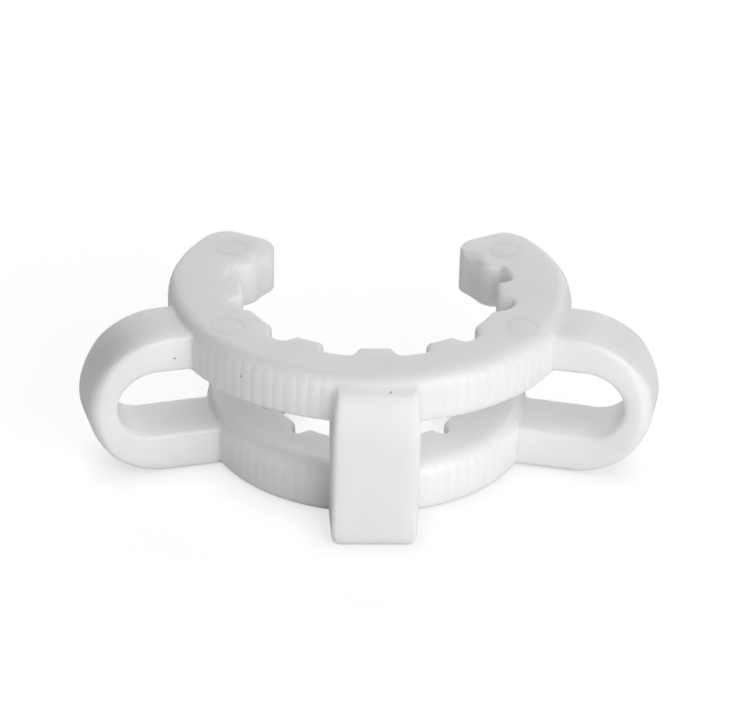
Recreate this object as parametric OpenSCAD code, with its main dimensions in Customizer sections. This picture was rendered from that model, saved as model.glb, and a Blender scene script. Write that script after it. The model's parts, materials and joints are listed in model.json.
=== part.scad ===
// Spring clip for a ground glass joint, moulded in one piece.
//
// Two open collars stand one above the other on a common grip axis.  The upper collar holds the
// socket and the lower, smaller one holds the cone's tube.  A bridge joins them at the front, and a
// finger loop on each side runs from one collar to the other.
//
// The origin lies on the grip axis, in the plane that the clip stands on.  +Z points up, the
// collars open towards +Y, the bridge is at -Y and the finger loops reach out along +X and -X.

/* [Grip] */
// Radius of the upper pads' faces, which hold the socket
socket_r = 14.2; // [13.4:0.1:15]
// Radius of the lower pads' faces, which hold the cone's tube
tube_r = 10.5; // [9.8:0.1:11.3]
// Depth of the notches between the pads
notch_depth = 1.8; // [1:0.1:2.4]

/* [Collars] */
// Wall of the upper collar at its sides, from the pads' faces to the tips of the ribs
upper_wall = 8.3; // [7.4:0.1:9.4]
// Wall of the lower collar at its sides, from the pads' faces to the tips of the ribs
lower_wall = 8; // [7:0.1:8.6]
// Height of the upper collar
upper_h = 5.4; // [4.8:0.1:7]
// Height of the lower collar
lower_h = 5.8; // [4.8:0.1:7]
// Height between the collars, where the rims of the glass lie
rim_gap = 8; // [7:0.1:11]
// Distance that the upper collar's outer round lies behind the grip axis, so its front is thinner
upper_shift = 0.8; // [0.2:0.1:1.4]
// Distance that the lower collar's outer round lies behind the grip axis
lower_shift = 1.1; // [0.2:0.1:1.6]
// Rounding of the collars' top outer edges
top_round = 1.2; // [0.6:0.1:1.6]
// Rounding of the upper collar's bottom outer edge
upper_foot_round = 0.4; // [0.2:0.1:0.8]
// Rounding of the lower collar's bottom outer edge
lower_foot_round = 0.9; // [0.3:0.1:1.2]

/* [Pads] */
// Half angle of the front pad's face
front_pad_half = 7; // [6:0.2:8.4]
// Angle from the front to the middle of the first side pad
pad_1_at = 29.2; // [28.4:0.2:30.4]
// Half angle of the first side pad's face, in the upper collar
pad_1_half = 6.5; // [5:0.5:7.5]
// Half angle of the first side pad's face, in the lower collar
lower_pad_1_half = 10.5; // [8:0.5:11]
// Angle from the front to the middle of the second side pad, the widest
pad_2_at = 58.5; // [57.5:0.5:60]
// Half angle of the second side pad's face
pad_2_half = 8; // [7:0.2:9]
// Extra half angle of the second side pad at its root, where it swells out
pad_2_swell = 6; // [3:0.5:6]
// Angle from the front to the middle of the third side pad
pad_3_at = 88.5; // [86.5:0.5:90]
// Half angle of the third side pad's face
pad_3_half = 6.8; // [5:0.2:7.8]
// Angle from the front at which the jaw's pad starts
jaw_pad_at = 112; // [109:1:116]
// Extra half angle of the other pads at their roots
pad_swell = 2.2; // [1:0.2:2.6]

/* [Jaws] */
// Angle from the front at which the jaw's pad ends
jaw_at = 131.7; // [128:0.1:134]
// Straight flank at the tip of each jaw
jaw_flank = 0.4; // [0.3:0.1:1.5]
// Slope of the jaws' end faces, from the line across the mouth
jaw_slope = 31.5; // [24:0.5:36]
// Rounding between flank and end face
jaw_tip_round = 2.3; // [1.5:0.1:2.8]
// Rounding between end face and outer wall
jaw_heel_round = 2.8; // [1.5:0.1:3]

/* [Ribs] */
// Distance from one rib to the next, along the outer wall
rib_pitch = 1.36; // [1.2:0.02:2]
// Width of the groove between two ribs, at the wall
rib_groove = 1; // [0.6:0.1:1.1]
// Depth of the groove between two ribs
rib_depth = 0.25; // [0.15:0.05:0.35]

/* [Bridge] */
// Width of the bridge across its front face
bridge_w = 9.2; // [7:0.2:11]
// Distance that the bridge's front stands out from the upper collar
bridge_proud = 2; // [1.4:0.1:2.6]
// Depth that the bridge's foot runs into the lower collar's wall
bridge_depth = 1.7; // [0.7:0.1:3.1]
// Height at which the bridge's front starts to lean back
bridge_bend_z = 11.3; // [9:0.1:13]
// Distance of the bridge's upper end below the top of the upper collar
bridge_drop = 1.4; // [1:0.1:2]
// Draft of the bridge's sides
bridge_draft = 2.5; // [0:0.5:4]
// Rounding of the bridge's upright front edges
bridge_round = 0.5; // [0.4:0.1:1.4]
// Rounding of the bridge's bottom front edge
bridge_foot_round = 0.6; // [0.3:0.1:1]
// Distance from the floors of the upper notches to the bridge's inner face
rim_clear = 0.6; // [0.3:0.1:1.2]

/* [Finger loops] */
// Distance from the upper collar's wall to the centre of the loop's bend
loop_reach = 1.1; // [0:0.1:4]
// Angle that each loop is swept towards the front
loop_sweep = 14.5; // [6:0.5:18]
// Width of the loop's band, from front to back
loop_depth = 8.2; // [6:0.1:9]
// Thickness of the band in the upper arm
upper_arm_t = 4.3; // [3:0.1:4.8]
// Thickness of the band in the lower arm
lower_arm_t = 4.3; // [3:0.1:4.8]
// Height of each arm's underside above the bottom of its collar
arm_lift = 0.2; // [0.1:0.05:0.5]
// Distance that the bend of the hole lies further out than the bend of the band
hole_push = 1.4; // [0:0.1:1.8]
// Distance of the upper arm's middle in front of the line through the centre of the collars
upper_arm_forward = 1.6; // [0.5:0.1:2.5]
// Distance of the lower arm's middle behind the line through the centre of the collars
lower_arm_back = 1; // [0.2:0.1:2]
// Rounding of the band's four edges
band_round = 0.8; // [0.4:0.1:1.2]

/* [Hidden] */
$fn = 96;

// The outer rounds of the two collars
upper_outer_r = socket_r + upper_wall;
lower_outer_r = tube_r + lower_wall;
upper_z = lower_h + rim_gap;
total_h = upper_z + upper_h;

// Where one solid runs into another, it goes this far in
embed = 3;
// Cutters run this far past what they cut
past = 1;
// The flanks of a rib groove run this far outside the wall
rib_over = 0.05;
// The flanks of a notch run on past the pads' faces by this share of their length
flank_over = 0.5;

// Each pad is [middle, half angle of its face, extra half angle at its root]
function pads(first_half) = [
    [0, front_pad_half, pad_swell],
    [pad_1_at, first_half, pad_swell],
    [pad_2_at, pad_2_half, pad_2_swell],
    [pad_3_at, pad_3_half, pad_swell]
];

// Heights of the two arms' undersides and tops
lower_arm_z = [arm_lift, arm_lift + lower_arm_t];
upper_arm_z = [upper_z + arm_lift, upper_z + arm_lift + upper_arm_t];
// The bend of the finger loop, and the bend of its hole
loop_out_r = (upper_arm_z[1] - lower_arm_z[0]) / 2;
loop_out_z = (upper_arm_z[1] + lower_arm_z[0]) / 2;
loop_hole_r = (upper_arm_z[0] - lower_arm_z[1]) / 2;
loop_hole_z = (upper_arm_z[0] + lower_arm_z[1]) / 2;
loop_bend_x = upper_outer_r + loop_reach;
loop_steps = 20;
corner_steps = 3;

// A point at radius r and at an angle counted from the front, positive towards +X
function from_front(r, a) = [r * sin(a), -r * cos(a)];

// Points along an arc
function arc(c, r, a0, a1, n) =
    [for (i = [0:n]) c + r * [cos(a0 + (a1 - a0) * i / n), sin(a0 + (a1 - a0) * i / n)]];

// A list of points mirrored to the other side, in reverse order
function mirrored(pts) = [for (i = [len(pts) - 1:-1:0]) [-pts[i][0], pts[i][1]]];

// A disc with rounded outer edges
module rounded_disc(r, h, foot) {
    rotate_extrude() {
        square([r - max(top_round, foot), h]);
        square([r - foot, h / 2]);
        translate([0, h / 2]) square([r - top_round, h / 2]);
        translate([0, foot]) square([r, h - foot - top_round]);
        translate([r - foot, foot]) circle(r = foot);
        translate([r - top_round, h - top_round]) circle(r = top_round);
    }
}

// Grooves cut all round the outer wall leave the ribs between them
module rib_grooves(r, h) {
    step = 360 * rib_pitch / (2 * PI * r);
    count = floor(jaw_at / step);
    half = rib_groove / 2;
    for (i = [-count:count])
        rotate([0, 0, (i + 0.5) * step - 90])
            translate([r, 0, -past])
                linear_extrude(h + 2 * past)
                    polygon([[-rib_depth, 0], [rib_over, -half], [past, -half],
                             [past, half], [rib_over, half]]);
}

// The inner end of a notch's flank, which runs on in a straight line past the pad's face
function flank_end(face, root) = face + (face - root) * flank_over;

// One notch between a pad that ends at face_0 and one that starts at face_1
module notch(grip_r, face_0, root_0, root_1, face_1, h) {
    floor_r = grip_r + notch_depth;
    start = from_front(floor_r, root_0);
    end = from_front(floor_r, root_1);
    translate([0, 0, -past])
        linear_extrude(h + 2 * past)
            polygon([flank_end(from_front(grip_r, face_0), start), start,
                     from_front(floor_r, (root_0 + root_1) / 2),
                     end, flank_end(from_front(grip_r, face_1), end)]);
}

// The notches on both sides of the front
module notches(grip_r, first_half, h) {
    row = concat(pads(first_half), [[jaw_pad_at, 0, pad_swell]]);
    for (i = [0:len(row) - 2], side = [0, 1]) {
        face_0 = row[i][0] + row[i][1];
        face_1 = row[i + 1][0] - row[i + 1][1];
        mirror([side, 0, 0])
            notch(grip_r, face_0, face_0 + row[i][2], face_1 - row[i + 1][2], face_1, h);
    }
}

// What the mouth takes out of a collar, with the jaws' tips and heels rounded
module mouth(grip_r, outer_r, shift, h) {
    centre = [0, shift];
    tip = from_front(grip_r, jaw_at);
    along = [cos(jaw_slope), sin(jaw_slope)];
    normal = [-sin(jaw_slope), cos(jaw_slope)];
    tip_c = tip + [jaw_tip_round, jaw_flank];
    start = tip_c + normal * (jaw_tip_round - jaw_heel_round) - centre;
    b = start * along;
    heel_c = centre + start + along * (sqrt(b * b - start * start + pow(outer_r - jaw_heel_round, 2)) - b);
    heel_end = atan2(heel_c[1] - centre[1], heel_c[0]) + 8;
    heel_out = heel_c + jaw_heel_round * [cos(heel_end), sin(heel_end)]
             + 2.5 * jaw_heel_round * [sin(heel_end), -cos(heel_end)];
    far = 2 * outer_r;
    right = concat([[tip[0], 0]], arc(tip_c, jaw_tip_round, 180, 90 + jaw_slope, 6),
                   arc(heel_c, jaw_heel_round, 90 + jaw_slope, heel_end, 8),
                   [heel_out, [far, heel_out[1]], [far, far]]);
    translate([0, 0, -past])
        linear_extrude(h + 2 * past)
            polygon(concat(right, mirrored(right)));
}

// One collar, standing on z = 0
module collar(grip_r, outer_r, shift, h, foot, first_half) {
    difference() {
        translate([0, shift, 0])
            difference() {
                rounded_disc(outer_r, h, foot);
                rib_grooves(outer_r, h);
            }
        translate([0, 0, -past]) cylinder(r = grip_r, h = h + 2 * past);
        notches(grip_r, first_half, h);
        mouth(grip_r, outer_r, shift, h);
    }
}

// The bridge, whose front leans back to meet the upper collar's wall
module bridge() {
    front_y = upper_shift - upper_outer_r - bridge_proud;
    top_z = total_h - bridge_drop;
    rise = top_z - bridge_bend_z;
    lean_r = (rise * rise + bridge_proud * bridge_proud) / (2 * bridge_proud);
    back = lower_shift - lower_outer_r + bridge_depth - front_y;
    back_w = bridge_w + 2 * back * tan(bridge_draft);
    rim_r = socket_r + notch_depth + rim_clear;
    plan = concat([[back_w / 2, back]],
                  arc([bridge_w / 2 - bridge_round, bridge_round], bridge_round, 0, -90, 6));
    translate([0, front_y, 0])
        difference() {
            intersection() {
                linear_extrude(total_h) polygon(concat(plan, mirrored(plan)));
                rotate([90, 0, 90])
                    translate([0, 0, -back_w])
                        linear_extrude(2 * back_w) {
                            translate([0, bridge_foot_round])
                                square([back + past, bridge_bend_z - bridge_foot_round]);
                            translate([bridge_foot_round, 0])
                                square([back + past - bridge_foot_round, bridge_bend_z]);
                            translate([bridge_foot_round, bridge_foot_round])
                                circle(r = bridge_foot_round);
                            intersection() {
                                translate([lean_r, bridge_bend_z]) circle(r = lean_r);
                                translate([0, bridge_bend_z - past])
                                    square([back + past, rise + past]);
                            }
                        }
            }
            translate([0, -front_y, lower_h - past]) cylinder(r = rim_r, h = total_h);
        }
}

// Cross-section of the band: a rounded rectangle between an outer and an inner point, in x and z
function band_ring(outer, inner, y_mid) =
    let (mid = (outer + inner) / 2, t = norm(outer - inner), u = (outer - inner) / t)
    [for (k = [0:3], j = [0:corner_steps])
        let (a = 90 * k + 90 * j / corner_steps,
             p = (k == 0 || k == 3 ? 1 : -1) * (t / 2 - band_round) + band_round * cos(a),
             q = (k < 2 ? 1 : -1) * (loop_depth / 2 - band_round) + band_round * sin(a),
             xz = mid + u * p)
        [xz[0], y_mid + q, xz[1]]];

// Middle of the band from front to back, as it goes from the upper arm to the lower one
function band_y(a) = (lower_arm_back - upper_arm_forward) / 2
                   - (lower_arm_back + upper_arm_forward) / 2 * sin(a);

// Half of the clip's finger loops: one band from the upper collar round to the lower one
module finger_loop() {
    bend = [for (i = [0:loop_steps])
        let (a = 90 - 180 * i / loop_steps, dir = [cos(a), sin(a)])
        band_ring([loop_bend_x, loop_out_z] + loop_out_r * dir,
                  [loop_bend_x + hole_push, loop_hole_z] + loop_hole_r * dir, band_y(a))];
    upper_x = upper_outer_r - embed;
    lower_x = lower_outer_r - embed;
    rings = concat([band_ring([upper_x, upper_arm_z[1]], [upper_x, upper_arm_z[0]], band_y(90))],
                   bend,
                   [band_ring([lower_x, lower_arm_z[0]], [lower_x, lower_arm_z[1]], band_y(-90))]);
    n = len(rings[0]);
    last = len(rings) - 1;
    sides = [for (i = [0:last - 1], j = [0:n - 1]) let (k = (j + 1) % n)
        each [[i * n + j, i * n + k, (i + 1) * n + j], [i * n + k, (i + 1) * n + k, (i + 1) * n + j]]];
    polyhedron(points = [for (r = rings, p = r) p],
               faces = concat([[for (j = [n - 1:-1:0]) j]], sides, [[for (j = [0:n - 1]) last * n + j]]));
}

// The whole clip, one solid
module clip() {
    color("whitesmoke") {
        collar(tube_r, lower_outer_r, lower_shift, lower_h, lower_foot_round, lower_pad_1_half);
        translate([0, 0, upper_z])
            collar(socket_r, upper_outer_r, upper_shift, upper_h, upper_foot_round, pad_1_half);
        bridge();
        for (side = [0, 1])
            mirror([side, 0, 0])
                translate([0, upper_shift, 0])
                    rotate([0, 0, -loop_sweep])
                        finger_loop();
    }
}

clip();
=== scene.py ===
# %% [markdown]
# # A spring clip for a ground glass joint
# The clip is one moulding in white acetal. Two open collars stand one above the other, a bridge
# joins them at the front, and a loop on each side gives the fingers a hold. The larger, upper
# collar grips a joint's socket and the smaller one its cone's tube, so the two can't slide apart.
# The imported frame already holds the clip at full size. This lesson makes the same form again
# with the soft edges that a mould gives, dresses it in its plastic, and lights it on a pale floor.

# %% Load the frame
import json
import math
import bmesh
import bpy
import numpy as np
import openvdb
from mathutils import Matrix, Vector


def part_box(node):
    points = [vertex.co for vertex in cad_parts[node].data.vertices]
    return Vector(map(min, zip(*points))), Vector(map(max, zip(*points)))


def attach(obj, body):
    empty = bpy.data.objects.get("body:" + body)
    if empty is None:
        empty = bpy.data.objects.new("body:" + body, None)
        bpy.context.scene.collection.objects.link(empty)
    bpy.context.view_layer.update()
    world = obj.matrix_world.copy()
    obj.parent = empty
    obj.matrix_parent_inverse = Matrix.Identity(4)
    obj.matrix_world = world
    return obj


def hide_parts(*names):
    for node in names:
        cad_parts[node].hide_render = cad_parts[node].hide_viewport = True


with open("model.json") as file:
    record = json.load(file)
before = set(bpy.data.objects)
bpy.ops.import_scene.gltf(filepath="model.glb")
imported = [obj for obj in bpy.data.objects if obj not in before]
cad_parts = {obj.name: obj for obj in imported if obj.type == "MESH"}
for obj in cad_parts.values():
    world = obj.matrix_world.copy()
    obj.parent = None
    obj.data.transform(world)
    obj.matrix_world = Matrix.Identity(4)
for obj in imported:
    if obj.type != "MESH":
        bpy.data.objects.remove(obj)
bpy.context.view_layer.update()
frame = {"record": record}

# %% [markdown]
# ## Sizes
# The clip is worked out in millimetres, because its details are a few tenths of one, and turned to
# metres only when its mesh is made. The radii of the two grips and the heights of the collars are
# read from the frame's mounts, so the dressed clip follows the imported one. Sizes that the frame
# doesn't name, such as walls, roundings and ribs, are given where each form is made.

# %% Sizes from the frame
MM = 0.001
mounts = {mount["name"]: mount for mount in frame["record"]["mounts"]}
socket_r = mounts["upper_collar"]["dims"]["r_mm"]
upper_h = mounts["upper_collar"]["dims"]["length_mm"]
upper_z = mounts["upper_collar"]["pos_m"][2] / MM
tube_r = mounts["lower_collar"]["dims"]["r_mm"]
lower_h = mounts["lower_collar"]["dims"]["length_mm"]
total_h = upper_z + upper_h
low, high = [np.array(corner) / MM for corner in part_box("clip")]
front_y = low[1]
print("Grip radii:", tube_r, "and", socket_r, "mm, whole height:", round(total_h, 2), "mm")

# %% [markdown]
# ## A form as a field
# A moulded part has no sharp edge and no seam: walls, arms and bridge run into each other in small
# fillets. Bevels on joined meshes could make them, but bevels break where many edges meet. A field
# doesn't. It is a function that gives, for every point, about how far it lies outside the plastic,
# and is negative inside. Two rules join fields. `both` keeps what lies inside both and rounds the
# edge between them. `either` keeps what lies inside one or the other and lays a fillet in the
# corner. The mesh comes last, from the finished field.

# %% Join two fields
def both(a, b, r):
    """Inside both forms, with the edge between them rounded to radius r."""
    return np.minimum(np.maximum(a, b), -r) + np.hypot(np.maximum(a + r, 0), np.maximum(b + r, 0))


def either(a, b, r):
    """Inside one form or the other, with a fillet of radius r where they meet."""
    return -both(-a, -b, r)


print("A square edge rounded to 1 mm loses", round(float(both(0, 0, 1)), 3), "mm at its corner")

# %% [markdown]
# ## Soft changes
# Roundings differ from place to place on this clip, and a mould changes them gradually. A smooth
# step rises from 0 to 1 with no kink at either end. `between` uses such a share to go from one
# size to another. A slab is a plan cut off by a top and a foot face, each with its own rounding.

# %% Steps and slabs
def smooth_step(t):
    t = np.clip(t, 0, 1)
    return t * t * (3 - 2 * t)


def between(first, last, share):
    return first + (last - first) * share


def slab_edges(plan, z, z0, z1, top_r, foot_r):
    return both(both(plan, z - z1, top_r), z0 - z, foot_r)


print("Smooth step at a quarter of the way:", round(float(smooth_step(0.25)), 3))

# %% [markdown]
# ## The ribbed outer wall
# Upright ribs give wet or gloved fingers a hold. Each is a low rounded ridge, and the valleys
# between them are sharp, as a cutter leaves them in a mould. Single rods laid on the wall would
# need more than a hundred joins. A cylinder whose radius dips by a small curve, again and again on
# the way round, makes them all at once. The dip fades out under the rounded top edge, beside the
# bridge, which stands on a plain wall, and at the last rib before the jaws.

# %% Outer wall
rib_pitch = 1.36
rib_depth = 0.085
rib_fade = 0.6
ribs_end = math.radians(131)
bridge_w = 9.2
bridge_clear = 0.5


def outer_wall(x, y, z, outer_r, shift, ribs_foot, ribs_top):
    """The wall round a centre that stands shift mm behind the grip's, ribbed between two heights."""
    along = outer_r * np.arctan2(x, shift - y)
    phase = along / rib_pitch - np.round(along / rib_pitch)
    dip = rib_depth * (2 * phase) ** 2
    dip = dip * smooth_step((ribs_end * outer_r - np.abs(along)) / rib_pitch)
    dip = dip * smooth_step((np.abs(along) - bridge_w / 2) / bridge_clear)
    rise = smooth_step((ribs_top - z) / rib_fade + 1) * smooth_step((z - ribs_foot) / rib_fade)
    return np.hypot(x, y - shift) - outer_r + dip * rise


print("Ribs are", rib_pitch, "mm apart and", rib_depth, "mm deep")

# %% [markdown]
# ## The pads and notches
# Only pads touch the glass. Between them, notches let the collar bend and let each pad seat by
# itself. The notches could be cut one by one with booleans. Here the hollow of a collar is a bore
# joined with a ring of notches, each closed by two straight flanks, so the pads' corners get their
# rounding in the same step. The clip is the same on both sides, so x is taken without its sign.

# %% Points and lines in plan
def on_circle(r, degrees):
    """The point on a circle at an angle from the front, towards the right."""
    a = math.radians(degrees)
    return np.array([r * math.sin(a), -r * math.cos(a)])


def beside(x, y, start, end):
    """How far a point lies to the right of the line from start to end."""
    along = (end - start) / np.hypot(*(end - start))
    return (x - start[0]) * along[1] - (y - start[1]) * along[0]


print("A pad at the front of the upper grip touches at", on_circle(socket_r, 0))

# %% [markdown]
# ## Where the pads stand
# Each pad is given by three angles in degrees: its middle, counted from the front, half its width
# on the grip, and how much wider its flank stands at the notch's floor. The last entry has no
# width of its own, because there the jaw begins, and its face grips as the pads do. On the lower
# collar the first pad beside the front is wider.

# %% Pads
notch_depth = 1.8
flank_spread, broad_spread = 2.2, 6
upper_pads = [(0, 7, flank_spread), (29.2, 6.5, flank_spread), (58.5, 8, broad_spread),
              (88.5, 6.8, flank_spread), (112, 0, flank_spread)]
lower_pads = [(0, 7, flank_spread), (29.2, 10.5, flank_spread), (58.5, 8, broad_spread),
              (88.5, 6.8, flank_spread), (112, 0, flank_spread)]
print("Whole pads on a side of the upper grip:", len(upper_pads) - 2, "and one at the front")

# %% [markdown]
# ## The hollow
# A notch is what lies inside its floor circle and between its two flanks. Its corners are tight at
# the front. Near the jaws, where the wall bends most, they open into broad rounds.

# %% Hollow of a collar
notch_round = 0.4
jaw_edge_round = 1.4
jaw_corners_from = 0.15
jaw_zone = 3


def hollow(x, y, grip_r, pads, pad_round):
    side = np.abs(x)
    rho = np.hypot(x, y)
    floor_r = grip_r + notch_depth
    corner_r = between(pad_round, jaw_edge_round, smooth_step((y - jaw_corners_from * grip_r) / jaw_zone))
    space = rho - grip_r
    for (at, half, spread), (next_at, next_half, next_spread) in zip(pads, pads[1:]):
        first = beside(side, y, on_circle(grip_r, at + half), on_circle(floor_r, at + half + spread))
        last = beside(side, y, on_circle(floor_r, next_at - next_half - next_spread),
                      on_circle(grip_r, next_at - next_half))
        notch = both(both(rho - floor_r, first, notch_round), last, notch_round)
        space = either(space, notch, corner_r)
    return space


print("The notches reach", notch_depth, "mm into the wall")

# %% [markdown]
# ## The jaws
# The collar's two ends are the jaws, which spread over the glass when the clip is pushed on. Their
# end faces slope away from the mouth, so that the glass wedges them apart. A jaw is an upright
# flank beside the mouth and a sloped end face, joined by one round. `both` starts to round where a
# point comes within its r of the other face, so that distance is worked out from the round's
# radius and the angle between the two faces.

# %% Jaws
jaw_at = 131.7
jaw_flank = 0.37
jaw_slope = math.radians(28)
jaw_tip_round = 3.0


def jaw(x, y, grip_r):
    side = np.abs(x)
    tip = on_circle(grip_r, jaw_at)
    centre = tip + [jaw_tip_round, jaw_flank]
    flank = tip[0] - side
    end = (y - centre[1]) * math.cos(jaw_slope) - (side - centre[0]) * math.sin(jaw_slope) - jaw_tip_round
    turn = math.pi / 2 - jaw_slope
    tip_r = jaw_tip_round * math.tan(turn / 2) * math.sin(turn)
    return np.minimum(both(flank, end, tip_r), y)


print("Width of the upper mouth:", round(2 * on_circle(socket_r, jaw_at)[0], 2), "mm")

# %% [markdown]
# ## A collar's edges
# Wall, jaws and hollow meet in plan, and the top and bottom faces cut the plan off. The outer top
# edge is the part that the hand feels, and it is rounded well, most of all in front. The jaws'
# inner edges are nearly as round, the pads' only lose their sharpness, and the sloped end faces
# stay crisp. One rounding therefore changes over the top, by how far a point lies from the glass,
# towards the jaws, and towards the end faces.

# %% Rounding of the top edge
top_round = 1.8
back_top_round = 1.2
pad_top_round = 0.7
jaw_top_round = 1.6
end_top_round = 0.4
rim_start, rim_width = 0.4, 2
jaw_top_from = 0.4
back_zone = 10
end_zone = 2


def from_pads_to_wall(x, y, grip_r):
    """0 over the pads and notches, 1 over the outer wall."""
    return smooth_step((np.hypot(x, y) - grip_r - notch_depth - rim_start) / rim_width)


def top_rounding(y, grip_r, shift, outward, ends):
    inner = between(pad_top_round, jaw_top_round, smooth_step((y - jaw_top_from * grip_r) / jaw_zone))
    outer = between(top_round, back_top_round, smooth_step(0.5 + (y - shift) / back_zone))
    return between(between(inner, outer, outward), end_top_round, smooth_step(1 + ends / end_zone))


print("Top edge:", top_round, "mm in front,", back_top_round, "at the back,", pad_top_round, "on pads")

# %% [markdown]
# ## A collar
# Both collars are of one kind, so one function makes them from their own sizes. Each wall stands
# round a centre a little behind the grip's, which makes the wall thinner in front and the clip
# springier. The upper collar's ribs run out through its foot. The lower collar's stop above its
# rounded foot, so that it stands on a smooth rim.

# %% Collars
jaw_heel_round = 2.604
ribs_below_top = 0.8
inner_foot_round = 0.3
upper_wall, lower_wall = 8.3, 7.7
upper_shift, lower_shift = 0.8, 0.85
upper_foot, lower_foot = 0.4, 0.9
upper_pad_round, lower_pad_round = 0.45, 0.7
ribs_past_foot = 1
upper_outer_r = socket_r + upper_wall
lower_outer_r = tube_r + lower_wall
upper_collar = {"grip_r": socket_r, "outer_r": upper_outer_r, "shift": upper_shift, "z0": upper_z,
                "z1": total_h, "foot": upper_foot, "pads": upper_pads,
                "pad_round": upper_pad_round, "ribs_foot": upper_z - ribs_past_foot}
lower_collar = {"grip_r": tube_r, "outer_r": lower_outer_r, "shift": lower_shift, "z0": 0,
                "z1": lower_h, "foot": lower_foot, "pads": lower_pads,
                "pad_round": lower_pad_round, "ribs_foot": lower_foot}


def collar(x, y, z, grip_r, outer_r, shift, z0, z1, foot, pads, pad_round, ribs_foot):
    wall = outer_wall(x, y, z, outer_r, shift, ribs_foot, z1 - ribs_below_top)
    ends = jaw(x, y, grip_r)
    solid = both(wall, ends, jaw_heel_round)
    solid = both(solid, -hollow(x, y, grip_r, pads, pad_round), pad_round)
    outward = from_pads_to_wall(x, y, grip_r)
    top_r = top_rounding(y, grip_r, shift, outward, ends)
    return slab_edges(solid, z, z0, z1, top_r, between(inner_foot_round, foot, outward))


print("Outer radii:", lower_outer_r, "and", upper_outer_r, "mm")

# %% [markdown]
# ## The bridge
# The bridge carries both collars at the front, opposite the mouth. Its front face is upright below
# and curves back above, until it meets the upper collar's wall, and its sides draw in a little
# there. The sides also have draft, so that they slide out of the mould. A bevelled box
# would miss the curve, so the front is a flat face that turns into a large cylinder. The inner face
# follows the rim of the glass, with room for it to turn.

# %% Bridge
bridge_depth = 8
bridge_bend_z = 12.8
bridge_lean_r = 8
bridge_drop = 0.9
bridge_taper = 0.3
bridge_draft = math.radians(1.5)
bridge_round = 0.5
bridge_corner_round = 1.1
bridge_top_round = 0.9
rim_clear = 0.6


def bridge(x, y, z):
    lean = np.hypot(y - front_y - bridge_lean_r, z - bridge_bend_z) - bridge_lean_r
    front = np.where(z > bridge_bend_z, lean, front_y - y)
    taper = bridge_taper * smooth_step((z - bridge_bend_z) / (total_h - bridge_bend_z))
    sides = ((np.abs(x) - bridge_w / 2 + taper) * math.cos(bridge_draft)
             - (y - front_y) * math.sin(bridge_draft))
    shell = both(front, both(sides, -z, bridge_corner_round), bridge_round)
    shell = both(shell, z - (total_h - bridge_drop), bridge_top_round)
    rim = socket_r + notch_depth + rim_clear - np.hypot(x, y)
    return np.maximum(shell, np.maximum(y - front_y - bridge_depth, rim))


print("The bridge is", bridge_w, "mm wide and starts to lean back at", bridge_bend_z, "mm")

# %% [markdown]
# ## The finger loops
# Each loop is a flat band that leaves the upper collar, bends round and comes back to the lower
# one. The loops are swept towards the front, where thumb and finger come from. A curve with a flat
# profile could make the band, but its arms differ in thickness. Seen from the front its outline and
# its hole are two long rounds, so the band is one long round less the other. It shifts a little
# from front to back on its way down, because the lower arm is rooted further back.

# %% Sizes of the loops
loop_reach = 1.25
loop_sweep = math.radians(14.5)
loop_depth = 7.75
upper_arm_t = 4.25
lower_arm_t = 4.65
arm_lift = 0.2
hole_push = 1.4
upper_arm_forward = 1.8
lower_arm_back = 0.8
band_round = 0.55
bend_round = 1.6
bend_round_from, bend_round_over = 6, 3
root_depth = 3
loop_top, loop_foot = upper_z + arm_lift + upper_arm_t, arm_lift
hole_top, hole_foot = loop_top - upper_arm_t, loop_foot + lower_arm_t
bend_x = upper_outer_r + loop_reach
print("The finger hole is", round(hole_top - hole_foot, 2), "mm high")

# %% [markdown]
# ## The band of a loop
# The point is first turned by the sweep, so that `out` runs along the arms and `back` across the
# band. A long round is a circle in the bend that is drawn out straight towards the collars. The
# bend's outer edges wear a broader round than the arms', as the fingers pass over them. The band
# starts inside the collars' walls, so that it joins them all round.

# %% Loop
def long_round(out, z, bend_at, centre_z, radius):
    return np.hypot(np.maximum(out - bend_at, 0), z - centre_z) - radius


def loop(x, y, z):
    side = np.abs(x)
    out = side * math.cos(loop_sweep) - (y - upper_shift) * math.sin(loop_sweep)
    back = side * math.sin(loop_sweep) + (y - upper_shift) * math.cos(loop_sweep)
    mid_z = (loop_top + loop_foot) / 2
    outline = long_round(out, z, bend_x, mid_z, (loop_top - loop_foot) / 2)
    hole = long_round(out, z, bend_x + hole_push, (hole_top + hole_foot) / 2, (hole_top - hole_foot) / 2)
    turn = (z - mid_z) / np.maximum(long_round(out, z, bend_x, mid_z, 0), 0.01)
    mid_y = (lower_arm_back - upper_arm_forward) / 2 - (lower_arm_back + upper_arm_forward) / 2 * turn
    faces = np.abs(back - mid_y) - loop_depth / 2
    outer_r = between(band_round, bend_round, smooth_step((out - bend_x - bend_round_from) / bend_round_over))
    band = np.maximum(both(outline, faces, outer_r), both(-hole, faces, band_round))
    root = np.where(z > mid_z, upper_outer_r, lower_outer_r) - root_depth
    return np.maximum(band, root - out)


print("Each loop reaches", round(float(bend_x + (loop_top - loop_foot) / 2), 2), "mm out along its arms")

# %% [markdown]
# ## The whole clip
# The collars don't touch each other, so they are simply taken together. The bridge and the loops
# are joined to them with small fillets, which a mould has wherever two walls meet, because a sharp
# inner corner would crack. Nothing goes below the plane that the clip stands on.

# %% Whole clip
bridge_fillet = 0.35
arm_fillet = 0.25


def clip(x, y, z):
    whole = np.minimum(collar(x, y, z, **lower_collar), collar(x, y, z, **upper_collar))
    whole = either(whole, bridge(x, y, z), bridge_fillet)
    whole = either(whole, loop(x, y, z), arm_fillet)
    return np.maximum(whole, -z)


print("Field in the middle of the bridge:", round(float(clip(0, front_y + 2, 8)), 2), "mm")
print("Field on the axis of the upper grip:", round(float(clip(0, 0, total_h - 2)), 2), "mm")

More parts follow.
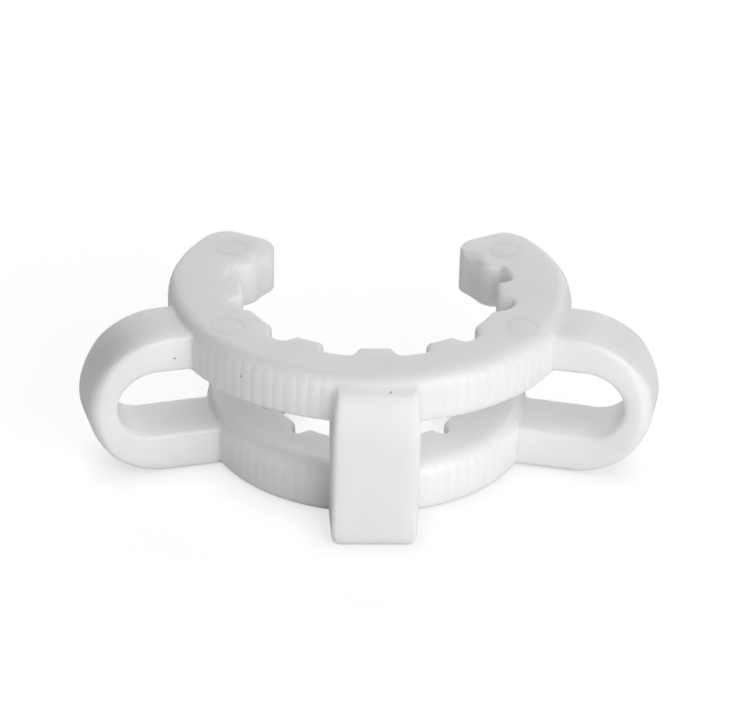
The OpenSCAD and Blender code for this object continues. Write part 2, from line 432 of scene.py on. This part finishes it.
# %% [markdown]
# ## From field to grid
# A volume grid turns a field into a surface. The field is worked out on a grid of points 0.16 mm
# apart, which is fine enough to catch the ribs. Only values near the surface matter, so the rest
# are clipped to a narrow band. Blender's remesh modifier works in the same way, but it starts from
# a mesh and so could not be sharper than that mesh.

# %% Field on a grid
cell = 0.16
band_width = 3 * cell
start = low - band_width
counts = np.ceil((high - low + 2 * band_width) / cell).astype(int)
axes = [start[k] + cell * np.arange(counts[k]) for k in range(3)]
values = clip(axes[0][:, None, None], axes[1][None, :, None], axes[2][None, None, :])
print("Grid:", values.shape)

# %% Surface through the grid
grid = openvdb.FloatGrid(band_width)
grid.copyFromArray(np.clip(values, -band_width, band_width).astype(np.float32))
grid.transform = openvdb.createLinearTransform(cell)
points, quads = grid.convertToQuads(0)
points = points.astype(float) + start
print("Surface:", len(points), "points,", len(quads), "faces")

# %% [markdown]
# ## Settle the points
# The grid's surface cuts across fine edges. The field knows where they are, so each point is moved
# down the field's slope until the field is nothing there. A step is at most half a cell, which
# keeps the faces from folding over, and a very flat slope is not trusted.

# %% Settle
slope_step = 0.02
least_slope = 0.5
longest_step = 0.5 * cell


def slope_of(points):
    """The field's slope along x, y and z at each point."""
    slope = np.empty_like(points)
    for k in range(3):
        step = np.zeros(3)
        step[k] = slope_step
        slope[:, k] = (clip(*(points + step).T) - clip(*(points - step).T)) / (2 * slope_step)
    return slope


def settle(points, rounds=2):
    for _ in range(rounds):
        slope = slope_of(points)
        value = clip(*points.T)
        move = slope * (value / np.maximum((slope * slope).sum(1), least_slope ** 2))[:, None]
        size = np.linalg.norm(move, axis=1, keepdims=True)
        points = points - move * np.minimum(1, longest_step / np.maximum(size, 1e-9))
    return points


points = settle(points)
print("Farthest point from the form:", round(float(np.abs(clip(*points.T)).max()), 3), "mm")

# %% Clip as a mesh
mesh = bpy.data.meshes.new("clip_moulding")
mesh.from_pydata(points * MM, [], quads)
mesh.update()
body = bpy.data.objects.new("clip_moulding", mesh)
bpy.context.scene.collection.objects.link(body)
print("Mesh faces:", len(mesh.polygons))

# %% [markdown]
# ## Fewer triangles
# The grid spends as many faces on flat walls as on ribs. Blender's Decimate modifier merges faces
# where the surface is flattest, so the ribs and roundings keep theirs. The mesh is made anew from
# the modified object, and its points are settled once more.

# %% Lighter mesh
triangles = 190000
decimate = body.modifiers.new("lighter", "DECIMATE")
decimate.ratio = triangles / (2 * len(mesh.polygons))
bpy.context.view_layer.update()
lighter = bpy.data.meshes.new_from_object(body.evaluated_get(bpy.context.evaluated_depsgraph_get()))
body.modifiers.clear()
body.data = lighter
corners = np.empty(3 * len(lighter.vertices))
lighter.vertices.foreach_get("co", corners)
points = settle(corners.reshape(-1, 3) / MM)
lighter.vertices.foreach_set("co", (points * MM).ravel())
lighter.update()
print("Faces:", len(lighter.polygons), "as triangles:", sum(face.loop_total - 2 for face in lighter.polygons))

# %% [markdown]
# ## Smooth shading
# Long thin triangles shade unevenly when their normals are averaged from the faces. The field's
# slope points straight out of the surface, so it gives each point its true normal instead.

# %% Normals from the field
lighter.shade_smooth()
normals = slope_of(points)
normals /= np.maximum(np.linalg.norm(normals, axis=1, keepdims=True), 1e-6)
lighter.normals_split_custom_set_from_vertices(normals)
inspection = bmesh.new()
inspection.from_mesh(lighter)
open_edges = sum(1 for edge in inspection.edges if len(edge.link_faces) != 2)
print("Open edges:", open_edges, "volume:", round(inspection.calc_volume() / MM ** 3), "mm3")
inspection.free()

# %% [markdown]
# ## Colours and nodes
# Hex colours are written as a screen shows them, and shaders count in linear light, so one function
# turns the one into the other. Materials are built from nodes. One small function adds a node with
# its settings, its values and its links, so that each material below reads as a list of steps.

# %% Colours
def linear(hex_colour):
    """An sRGB hex colour as linear red, green, blue and alpha."""
    parts = [int(hex_colour[i:i + 2], 16) / 255 for i in (1, 3, 5)]
    return [c / 12.92 if c <= 0.04045 else ((c + 0.055) / 1.055) ** 2.4 for c in parts] + [1]


print("Middle grey in linear light:", [round(c, 3) for c in linear("#808080")])

# %% Nodes
def node(tree, kind, inputs=None, links=None, **settings):
    """Adds a node, sets its properties and inputs, and links outputs into it."""
    new = tree.nodes.new(kind)
    for name, value in settings.items():
        setattr(new, name, value)
    for name, value in (inputs or {}).items():
        new.inputs[name].default_value = value
    for name, output in (links or {}).items():
        tree.links.new(output, new.inputs[name])
    return new


def new_material(name):
    made = bpy.data.materials.new(name)
    made.use_nodes = True
    made.node_tree.nodes.clear()
    return made


def product(tree, factors):
    total = factors[0]
    for factor in factors[1:]:
        total = node(tree, "ShaderNodeMath", links={0: total, 1: factor}, operation="MULTIPLY").outputs[0]
    return total


# The Mix node's sockets for two colours and for their mixture, by number.
MIX_A, MIX_B, MIX_RESULT = 6, 7, 2
print("Mix sockets:", MIX_A, MIX_B, MIX_RESULT)

# %% [markdown]
# ## Acetal
# Acetal, or POM, is a milky crystalline plastic. Light goes in, scatters for a few millimetres and
# comes out again, which softens every shadow and rib. So the colour is nearly all subsurface
# scattering, and red goes a little deeper than blue. The natural colour is a clean white, slightly
# uneven where the melt has cooled at different speeds. That is a broad noise, about 7 mm across.

# %% Colour of the plastic
mottle_mm = 7
acetal = new_material("moulded_white_acetal")
tree = acetal.node_tree
place = node(tree, "ShaderNodeTexCoord").outputs["Object"]
mottle = node(tree, "ShaderNodeTexNoise", {"Scale": 1 / (mottle_mm * MM), "Detail": 2}, {"Vector": place})
colour = node(tree, "ShaderNodeMix", {MIX_A: linear("#F3F3F3"), MIX_B: linear("#EAEAEA")},
              {0: mottle.outputs["Fac"]}, data_type="RGBA").outputs[MIX_RESULT]
print("Colour patches are about", mottle_mm, "mm across")

# %% [markdown]
# ## Specks
# Regrind and dust leave a few grey-brown specks in a white moulding. Each is a small ball round a
# point on the surface, and the plastic is darker inside it. The distance to the point makes the
# ball, so no image and no extra mesh is needed.

# %% Specks in the plastic
def distance_to(tree, place, point_mm):
    point = [c * MM for c in point_mm]
    return node(tree, "ShaderNodeVectorMath", {1: point}, {0: place}, operation="DISTANCE").outputs["Value"]


specks = [((1.4, -21.8, 17.75), 0.18), ((-21.5, -10.62, 15.7), 0.16), ((-14.4, -16.5, 16.7), 0.18)]
for point_mm, radius_mm in specks:
    dot = node(tree, "ShaderNodeMapRange", {"From Min": radius_mm / 2 * MM, "From Max": radius_mm * MM},
               {"Value": distance_to(tree, place, point_mm)})
    colour = node(tree, "ShaderNodeMix", {MIX_A: linear("#96918A")}, {0: dot.outputs[0], MIX_B: colour},
                  data_type="RGBA").outputs[MIX_RESULT]
print("Specks:", len(specks))

# %% [markdown]
# ## Ejector pin marks
# When the mould opens, pins push the clip out and leave a faint round groove where each stood: one
# on each jaw of the upper collar and one behind each of its two broad pads. So faint a groove needs
# no triangles of its own, and is drawn as a bump. Folding the left side onto the right needs only
# the right side's two rings.

# %% Rings of the pins
def right_side(tree, place):
    parts = node(tree, "ShaderNodeSeparateXYZ", links={0: place})
    side = node(tree, "ShaderNodeMath", links={0: parts.outputs[0]}, operation="ABSOLUTE")
    return node(tree, "ShaderNodeCombineXYZ",
                links={0: side.outputs[0], 1: parts.outputs[1], 2: parts.outputs[2]}).outputs[0]


def ring_groove(tree, place, centre_mm, radius_mm, width_mm):
    """0 in a ring round the centre, 1 elsewhere."""
    away = distance_to(tree, place, centre_mm)
    off = node(tree, "ShaderNodeMath", {1: radius_mm * MM}, {0: away}, operation="SUBTRACT")
    off = node(tree, "ShaderNodeMath", links={0: off.outputs[0]}, operation="ABSOLUTE")
    return node(tree, "ShaderNodeMapRange", {"From Max": width_mm * MM}, {"Value": off.outputs[0]},
                interpolation_type="SMOOTHSTEP").outputs[0]


pin_r, pin_groove_w, pin_groove_depth = 1.75, 0.5, 0.12
pins = [(15.6, 9.4), (16, -9.8)]
folded = right_side(tree, place)
rings = product(tree, [ring_groove(tree, folded, (x, y, total_h), pin_r, pin_groove_w) for x, y in pins])
print("Pin marks:", 2 * len(pins), "of", 2 * pin_r, "mm")

# %% [markdown]
# ## The moulded skin
# A spark-eroded mould leaves a fine grain, which gives plastic a satin skin: highlights are broad and
# weak. Real grain is about 0.05 mm, too fine to show, so it is drawn 0.45 mm wide and only 0.006 mm
# deep. The same grain varies the roughness round the typical value of satin acetal, and the IOR is
# that of the plastic.

# %% Acetal's skin
grain_mm, grain_depth_mm, grain_strength = 0.45, 0.006, 0.25
scatter_mm = 2.5
glossiest, dullest = 0.34, 0.42
grain = node(tree, "ShaderNodeTexNoise", {"Scale": 1 / (grain_mm * MM), "Detail": 3},
             {"Vector": place}).outputs["Fac"]
gloss = node(tree, "ShaderNodeMapRange",
             {"From Min": 0.3, "From Max": 0.7, "To Min": glossiest, "To Max": dullest}, {"Value": grain})
relief = node(tree, "ShaderNodeBump", {"Distance": pin_groove_depth * MM}, {"Height": rings})
relief = node(tree, "ShaderNodeBump", {"Strength": grain_strength, "Distance": grain_depth_mm * MM},
              {"Height": grain, "Normal": relief.outputs[0]})
skin = node(tree, "ShaderNodeBsdfPrincipled",
            {"IOR": 1.48, "Subsurface Weight": 1.0, "Subsurface Radius": (1, 0.98, 0.96),
             "Subsurface Scale": scatter_mm * MM},
            {"Base Color": colour, "Roughness": gloss.outputs[0], "Normal": relief.outputs[0]})
node(tree, "ShaderNodeOutputMaterial", links={"Surface": skin.outputs[0]})
print("Light scatters about", scatter_mm, "mm in the plastic")

# %% [markdown]
# ## The clip in the frame
# The dressed clip has the only body to ride on. It stands for the imported solid, which stays in the
# frame for collision and isn't shown. It stands for the imported solid, which stays in the frame and
# isn't shown, and it is dressed in the acetal made above.

# %% Dress the clip
body.data.materials.clear()
body.data.materials.append(acetal)
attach(body, "root")
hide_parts("clip")
print("The clip rides on root, in", body.data.materials[0].name)

# %% [markdown]
# ## The floor
# The clip stands on white matt paper. A white floor under soft lamps would come out grey in places
# or blown out in others. So the paper is darker than white to the camera, and glows by as much as
# brings it back up to white, while the clip's shadow still takes light away. Close to the clip an
# ambient occlusion mask weakens the glow, which paints a contact shadow where plastic and paper
# meet. To all other rays it is plain white paper, and lights the clip from below.

# %% Paper
floor_glow = 0.81
painted_shade_share = 0.3
painted_shade_mm = 4
paper = new_material("white_paper")
tree = paper.node_tree
seen = node(tree, "ShaderNodeLightPath").outputs["Is Camera Ray"]
# Painted contact shadow: the occlusion mask dims the floor's glow close to the clip.
painted_contact_shade = node(tree, "ShaderNodeAmbientOcclusion", {"Distance": painted_shade_mm * MM}, samples=16).outputs["AO"]
shade = node(tree, "ShaderNodeMath", {1: painted_shade_share, 2: 1 - painted_shade_share}, {0: painted_contact_shade},
             operation="MULTIPLY_ADD").outputs[0]
lit = node(tree, "ShaderNodeMath", {1: floor_glow}, {0: product(tree, [seen, shade])},
           operation="MULTIPLY").outputs[0]
tone = node(tree, "ShaderNodeMix", {MIX_A: linear("#E6E6E6"), MIX_B: linear("#9A9A9A")}, {0: seen},
            data_type="RGBA").outputs[MIX_RESULT]
sheet = node(tree, "ShaderNodeBsdfDiffuse", links={"Color": tone})
glow = node(tree, "ShaderNodeEmission", {"Color": (1, 1, 1, 1)}, {"Strength": lit})
total = node(tree, "ShaderNodeAddShader", links={0: sheet.outputs[0], 1: glow.outputs[0]})
node(tree, "ShaderNodeOutputMaterial", links={"Surface": total.outputs[0]})
print("The paper glows at", floor_glow, "and loses", painted_shade_share, "of it at the clip's foot")

# %% Floor
half = 2
floor_mesh = bpy.data.meshes.new("floor")
floor_mesh.from_pydata([(-half, -half, 0), (half, -half, 0), (half, half, 0), (-half, half, 0)],
                       [], [(0, 1, 2, 3)])
floor_mesh.materials.append(paper)
floor = bpy.data.objects.new("floor", floor_mesh)
bpy.context.scene.collection.objects.link(floor)
print("The floor is", 2 * half, "m square")

# %% [markdown]
# ## The camera
# The camera looks down on the clip's front from a third of a metre, a little from the left, and
# leans slightly. A long lens keeps the far jaws nearly as large as the near bridge. The lens is
# shifted a trifle, which moves the clip in the frame without turning the camera.

# %% Camera
def direction(azimuth, elevation):
    """The way from the clip to a camera or lamp, in degrees round from the front and up."""
    a, e = math.radians(azimuth), math.radians(elevation)
    return Vector((math.sin(a) * math.cos(e), -math.cos(a) * math.cos(e), math.sin(e)))


camera_distance = 337.5
aim = Vector((0, 0.9, 7.875))
roll = math.radians(1.55)
back = direction(-2.75, 28.5)
lens = bpy.data.cameras.new("camera")
lens.sensor_width = 36
lens.lens = 144.1
lens.shift_x = 0.0063
lens.shift_y = 0.02
lens.clip_start = 0.01
camera = bpy.data.objects.new("camera", lens)
bpy.context.scene.collection.objects.link(camera)
facing = back.to_track_quat("Z", "Y").to_matrix().to_4x4()
camera.matrix_world = (Matrix.Translation((aim + back * camera_distance) * MM) @ facing
                       @ Matrix.Rotation(roll, 4, "Z"))
bpy.context.scene.camera = camera
print("Camera at", [round(c, 3) for c in camera.matrix_world.translation], "m")

# %% [markdown]
# ## The room
# The backdrop is white where the camera sees it. To everything else the room is a weak even light,
# as from white walls, which fills the shadows and leaves the modelling to the lamps.

# %% Room
room_strength = 0.21
world = bpy.data.worlds.new("studio")
bpy.context.scene.world = world
world.use_nodes = True
tree = world.node_tree
tree.nodes.clear()
path = node(tree, "ShaderNodeLightPath")
room = node(tree, "ShaderNodeBackground", {"Color": (1, 1, 1, 1), "Strength": room_strength})
white = node(tree, "ShaderNodeBackground", {"Color": (1, 1, 1, 1), "Strength": 1})
mixed = node(tree, "ShaderNodeMixShader",
             links={"Fac": path.outputs["Is Camera Ray"], 1: room.outputs[0], 2: white.outputs[0]})
node(tree, "ShaderNodeOutputWorld", links={"Surface": mixed.outputs[0]})
bpy.context.scene.view_settings.view_transform = "Standard"
print("Room light:", room_strength)

# %% [markdown]
# ## The lamps
# Three large softboxes stand round the clip, each much bigger than the clip, so no shadow has a
# hard edge. The key is low and to the right, which brightens upright walls and leaves the left
# ones in soft shade. A weak one in front opens the bridge, and one behind lifts the top edges and
# the floor. The lamps are no brighter than shows the plastic's own white.

# %% Softboxes
lamp_distance = 0.6
lamp_aim = Vector((0, 0, 0.01))


def softbox(name, azimuth, elevation, size, power):
    lamp = bpy.data.lights.new(name, "AREA")
    lamp.energy = power
    lamp.size = size
    towards = direction(azimuth, elevation)
    holder = bpy.data.objects.new(name, lamp)
    holder.location = towards * lamp_distance + lamp_aim
    holder.rotation_euler = towards.to_track_quat("Z", "Y").to_euler()
    bpy.context.scene.collection.objects.link(holder)
    print("Softbox", name, "of", size, "m at", power, "W")


softbox("key", azimuth=35, elevation=14, size=0.6, power=3.0)
softbox("front", azimuth=10, elevation=22, size=0.6, power=1.0)
softbox("back", azimuth=180, elevation=20, size=0.8, power=2.6)

# %% [markdown] ## Sizes and finish The dressed clip has to stay inside the imported one's box.
